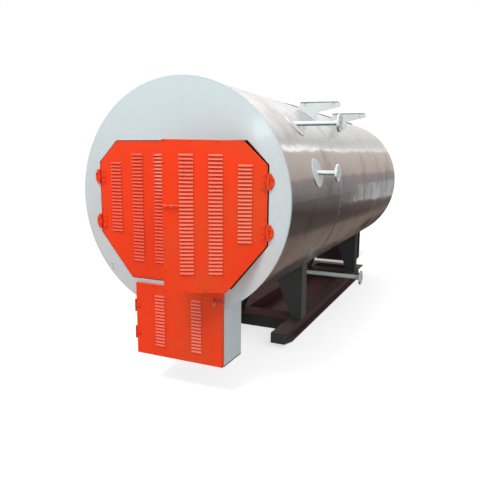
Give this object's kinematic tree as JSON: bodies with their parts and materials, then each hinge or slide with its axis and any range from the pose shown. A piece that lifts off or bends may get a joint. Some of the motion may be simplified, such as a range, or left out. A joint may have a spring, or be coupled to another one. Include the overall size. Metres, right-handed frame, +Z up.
{
  "type": "industrial boiler",
  "caption": "Horizontal packaged industrial boiler: insulated drum on a beam skid, louvred octagonal front leaves, service box, gauge nozzles and drain.",
  "frame": {"origin": "on the ground, on the centre line, at the middle of the front cross beam's underside", "axes": "+X to the right as seen from the front, +Y along the drum to the rear, +Z up"},
  "size_m": [1.9499, 5.214, 2.4543],
  "materials": {
    "front_paint": "satin light grey paint",
    "cladding": "thin brushed cladding sheet",
    "door_paint": "satin orange-red paint",
    "skid_paint": "dull dark grey paint",
    "primer": "dull red-brown primer",
    "nozzle_paint": "pale grey paint",
    "lock_steel": "worn bare steel"
  },
  "bodies": {
    "boiler": {"front_plate": "front_paint", "front_rim": "front_paint", "front_cladding": "cladding", "rear_cladding": "cladding", "bulkhead": "primer", "rear_plate": "front_paint", "rear_skirt": "primer", "crest_pads": "skid_paint", "left_leaf_ears": "door_paint", "right_leaf_ears": "door_paint", "service_box": "front_paint", "box_hinge_plates": "door_paint", "left_runner": "primer", "right_runner": "primer", "runner_end_plates": "skid_paint", "front_cross_beam": "skid_paint", "rear_cross_beam": "skid_paint", "end_cross_beam": "skid_paint", "skid_floor": "primer", "front_base_plate": "primer", "rear_base_plate": "primer", "front_left_leg": "skid_paint", "front_right_leg": "skid_paint", "rear_left_leg": "skid_paint", "rear_right_leg": "skid_paint", "front_saddle_pad": "skid_paint", "rear_saddle_pad": "skid_paint", "upper_gauge_nozzle": "nozzle_paint", "lower_gauge_nozzle": "nozzle_paint", "upper_collar": "cladding", "lower_collar": "nozzle_paint", "drain_pipe": "nozzle_paint", "front_bracket": "nozzle_paint", "rear_bracket": "nozzle_paint"},
    "left_leaf": {"left_leaf": "door_paint", "left_leaf_straps": "door_paint"},
    "right_leaf": {"right_leaf": "door_paint", "right_leaf_straps": "door_paint", "leaf_bolt": "door_paint"},
    "box_door": {"box_door": "door_paint", "box_door_straps": "door_paint", "door_hasp": "door_paint", "padlock": "lock_steel"}
  },
  "joints": [
    {"name": "left_leaf_hinge", "type": "hinge", "parent": "boiler", "child": "left_leaf", "pos_m": [-0.733, -1.796, 1.514], "axis": [0, 0, -1], "range_deg": [0, 110]},
    {"name": "right_leaf_hinge", "type": "hinge", "parent": "boiler", "child": "right_leaf", "pos_m": [0.733, -1.796, 1.514], "axis": [0, 0, 1], "range_deg": [-25.4, 84.6]},
    {"name": "box_door_hinge", "type": "hinge", "parent": "boiler", "child": "box_door", "pos_m": [-0.402, -1.806, 0.56], "axis": [0, 0, -1], "range_deg": [0, 100]}
  ]
}
